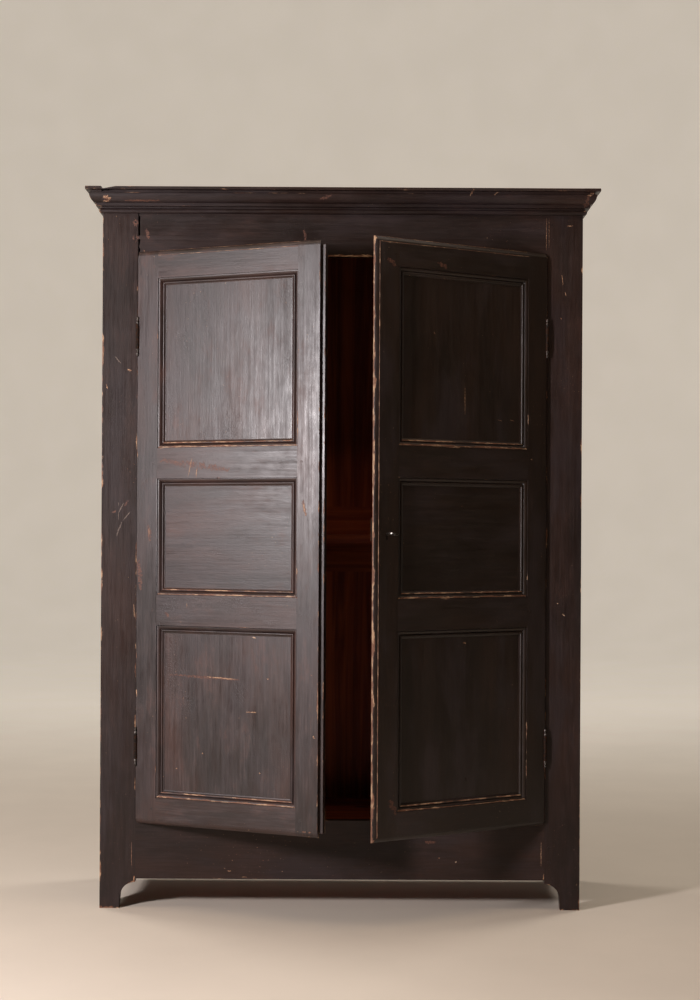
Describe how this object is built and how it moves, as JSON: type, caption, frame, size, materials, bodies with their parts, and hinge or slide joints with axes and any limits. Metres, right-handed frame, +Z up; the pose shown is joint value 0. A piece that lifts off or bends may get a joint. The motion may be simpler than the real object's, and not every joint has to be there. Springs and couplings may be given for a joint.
{
  "type": "kas cupboard",
  "caption": "Tall painted cupboard with a moulded cornice, panelled doors on butt hinges, a lock with its key, a shelf inside and bracket feet.",
  "frame": {"origin": "on the floor, at the middle of the width and at the middle of the depth measured over the doors as they stand ajar at rest", "axes": "+X to the right seen from the front, +Y to the back, +Z up"},
  "size_m": [1.35, 0.751, 1.897],
  "materials": {
    "painted_wood": "worn satin dark brown paint over softwood",
    "stained_pine": "red-brown stained softwood, matt",
    "iron": "dark wrought iron, lightly rusted",
    "key_steel": "worn dull steel"
  },
  "bodies": {
    "carcass": {"top_rail": "painted_wood", "bottom_rail": "painted_wood", "top_board": "stained_pine", "bottom_board": "stained_pine", "middle_shelf": "stained_pine", "back_rail": "stained_pine", "cornice_front": "painted_wood", "frame_pegs": "painted_wood", "left_stile": "painted_wood", "right_stile": "painted_wood", "left_side": "painted_wood", "right_side": "painted_wood", "left_shelf_cleat": "stained_pine", "right_shelf_cleat": "stained_pine", "left_cornice": "painted_wood", "right_cornice": "painted_wood", "left_frame_leaves": "iron", "right_frame_leaves": "iron", "left_hinge_pins": "iron", "right_hinge_pins": "iron", "back_board_1": "stained_pine", "back_board_2": "stained_pine", "back_board_3": "stained_pine", "back_board_4": "stained_pine", "back_board_5": "stained_pine"},
    "left_door": {"left_door_hinge_stile": "painted_wood", "left_door_meeting_stile": "painted_wood", "left_door_pegs": "painted_wood", "left_door_hinge_leaves": "iron", "left_door_bottom_rail": "painted_wood", "left_door_lower_rail": "painted_wood", "left_door_upper_rail": "painted_wood", "left_door_top_rail": "painted_wood", "left_door_bottom_panel": "painted_wood", "left_door_bottom_moulding": "painted_wood", "left_door_middle_panel": "painted_wood", "left_door_middle_moulding": "painted_wood", "left_door_top_panel": "painted_wood", "left_door_top_moulding": "painted_wood", "lock_keeper": "iron"},
    "right_door": {"right_door_hinge_stile": "painted_wood", "right_door_meeting_stile": "painted_wood", "right_door_pegs": "painted_wood", "right_door_hinge_leaves": "iron", "right_door_bottom_rail": "painted_wood", "right_door_lower_rail": "painted_wood", "right_door_upper_rail": "painted_wood", "right_door_top_rail": "painted_wood", "right_door_bottom_panel": "painted_wood", "right_door_bottom_moulding": "painted_wood", "right_door_middle_panel": "painted_wood", "right_door_middle_moulding": "painted_wood", "right_door_top_panel": "painted_wood", "right_door_top_moulding": "painted_wood", "lock_case": "iron"},
    "key": {"lock_key": "key_steel"},
    "bolt": {"lock_bolt": "iron"}
  },
  "joints": [
    {"name": "left_door_swing", "type": "hinge", "parent": "carcass", "child": "left_door", "pos_m": [-0.53925, -0.06548, 0], "axis": [0, 0, -1], "range_deg": [-25, 145]},
    {"name": "right_door_swing", "type": "hinge", "parent": "carcass", "child": "right_door", "pos_m": [0.53925, -0.06548, 0], "axis": [0, 0, 1], "range_deg": [-33, 137]},
    {"name": "key_turn", "type": "hinge", "parent": "right_door", "child": "key", "pos_m": [0.11497, -0.33981, 0.991], "axis": [0.5446, -0.8387, 0], "range_deg": [0, 140]},
    {"name": "bolt_slide", "type": "slide", "parent": "right_door", "child": "bolt", "axis": [-0.8387, -0.5446, 0], "range_m": [0, 0.012]}
  ],
  "couplings": [
    {"joint": "key_turn", "follows": "bolt_slide", "rad_per_m": 203}
  ]
}
